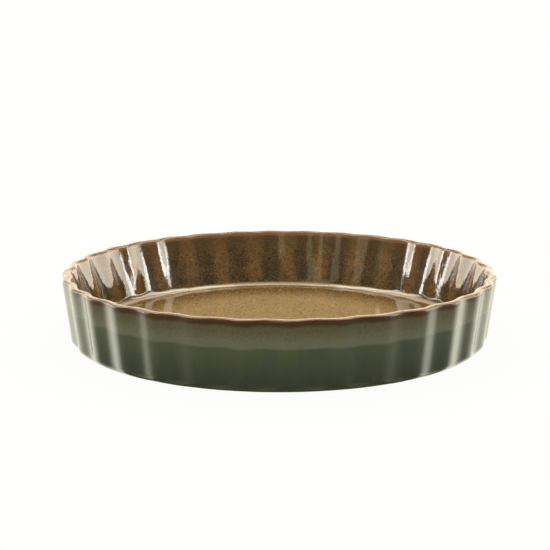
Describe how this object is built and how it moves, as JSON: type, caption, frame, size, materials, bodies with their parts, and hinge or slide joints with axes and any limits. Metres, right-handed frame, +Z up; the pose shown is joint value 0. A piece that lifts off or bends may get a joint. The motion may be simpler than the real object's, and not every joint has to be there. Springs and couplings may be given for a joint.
{
  "type": "fluted quiche dish",
  "caption": "Shallow round stoneware baking dish with a fluted upright wall, a flat floor and a bare foot ring, glazed brown inside and green outside.",
  "frame": {"origin": "centre of the foot ring, on the plane that the dish stands on", "axes": "+Z up along the dish's axis; +X and -Y each pass through a flute's crest"},
  "size_m": [0.2554, 0.2554, 0.04],
  "materials": {
    "bare_stoneware": "bare fired stoneware, buff, matt and slightly gritty",
    "brown_glaze": "glossy brown glaze with fine golden speckle, darker on the wall than on the floor",
    "olive_glaze": "glossy olive brown where the brown glaze ran over the green, paler at its lower edge",
    "green_glaze": "glossy dark green glaze with faint teal and olive streaks",
    "underside_glaze": "glossy dark green glaze, thinner than outside"
  },
  "bodies": {
    "root": {"stoneware_body": "bare_stoneware", "brown_inside_glaze": "brown_glaze", "olive_band_glaze": "olive_glaze", "green_outside_glaze": "green_glaze", "underside_glaze": "underside_glaze"}
  },
  "joints": []
}
